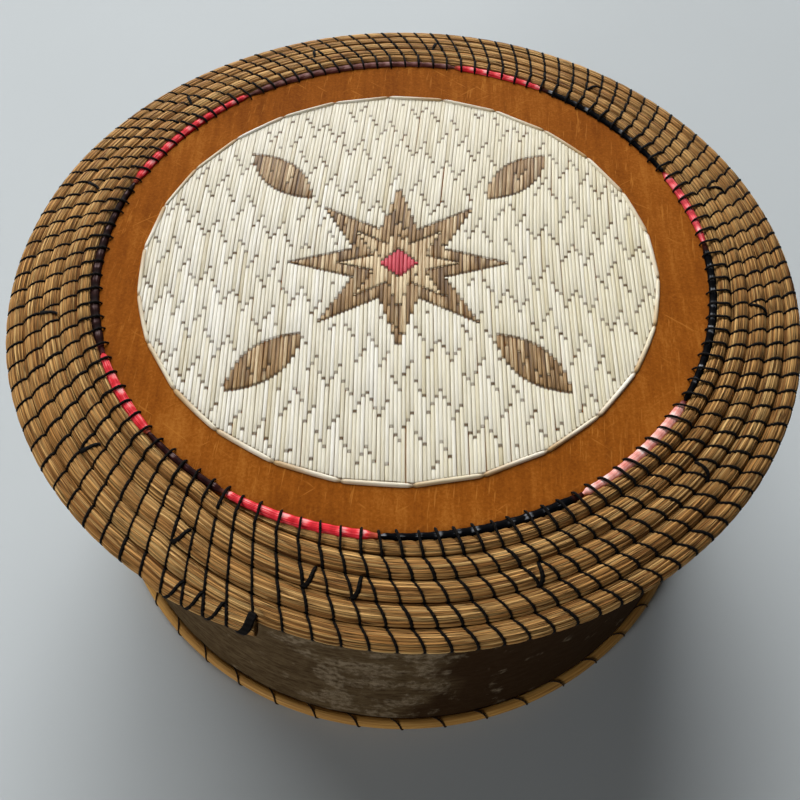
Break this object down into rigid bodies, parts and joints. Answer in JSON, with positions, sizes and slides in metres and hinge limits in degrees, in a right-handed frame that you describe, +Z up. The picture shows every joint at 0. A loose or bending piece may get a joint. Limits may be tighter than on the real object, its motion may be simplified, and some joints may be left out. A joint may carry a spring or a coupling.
{
  "type": "lidded bark basket",
  "caption": "Round lidded bark basket: a quilled bark lid in a brim of coiled sweetgrass lifts off a bark wall with lashed hoops at its foot and rim.",
  "frame": {"origin": "on the basket's axis, in the plane that it stands on", "axes": "+Z up along the basket's axis; -Y is the side that faces the picture's camera"},
  "size_m": [0.2278, 0.2271, 0.1085],
  "materials": {
    "inner_bark": "smooth orange-brown inner side of bark, fine streaks",
    "lining_bark": "plain inner bark, matt",
    "outer_bark": "rough grey-brown outer bark with pale lichen",
    "sweetgrass": "bundle of dried grass blades, satin",
    "black_thread": "matt black sewing thread",
    "brown_thread": "matt dark brown thread",
    "hoop_wood": "smooth honey-coloured rod",
    "cream_quill": "glossy cream quill",
    "border_quill": "glossy cream quill with tan ends",
    "brown_quill": "glossy brown-tipped quill",
    "red_quill": "dyed red quill",
    "red_wrap": "glossy red dyed quill",
    "dark_wrap": "glossy black to purple dyed quill"
  },
  "bodies": {
    "base": {"base_wall": "outer_bark", "base_floor": "lining_bark", "foot_hoop": "hoop_wood", "foot_lashing": "brown_thread", "rim_hoop": "hoop_wood", "rim_lashing": "brown_thread"},
    "lid": {"lid_bark_top": "inner_bark", "lid_lining": "lining_bark", "lid_collar": "lining_bark", "sweetgrass_coil": "sweetgrass", "coil_end_lashing": "black_thread", "quill_field": "cream_quill", "quill_star": "brown_quill", "quill_star_heart": "red_quill", "quill_leaf_1": "brown_quill", "quill_leaf_2": "brown_quill", "quill_leaf_3": "brown_quill", "quill_leaf_4": "brown_quill", "border_quill_01": "border_quill", "border_quill_02": "border_quill", "border_quill_03": "border_quill", "border_quill_04": "border_quill", "border_quill_05": "border_quill", "border_quill_06": "border_quill", "border_quill_07": "border_quill", "border_quill_08": "border_quill", "border_quill_09": "border_quill", "border_quill_10": "border_quill", "border_quill_11": "border_quill", "border_quill_12": "border_quill", "border_quill_13": "border_quill", "border_quill_14": "border_quill", "border_quill_15": "border_quill", "border_quill_16": "border_quill", "border_quill_17": "border_quill", "border_quill_18": "border_quill", "border_quill_19": "border_quill", "border_quill_20": "border_quill", "border_quill_21": "border_quill", "border_quill_22": "border_quill", "border_quill_23": "border_quill", "border_quill_24": "border_quill", "border_quill_25": "border_quill", "border_quill_26": "border_quill", "rim_wrap_01": "dark_wrap", "rim_wrap_02": "red_wrap", "rim_wrap_03": "dark_wrap", "rim_wrap_04": "red_wrap", "rim_wrap_05": "dark_wrap", "rim_wrap_06": "red_wrap", "rim_wrap_07": "dark_wrap", "rim_wrap_08": "red_wrap", "rim_wrap_09": "dark_wrap", "rim_wrap_10": "red_wrap", "rim_wrap_11": "dark_wrap", "rim_wrap_12": "red_wrap"}
  },
  "joints": [
    {"name": "lid_lift", "type": "slide", "parent": "base", "child": "lid", "axis": [0, 0, 1], "range_m": [0, 0.16]}
  ]
}
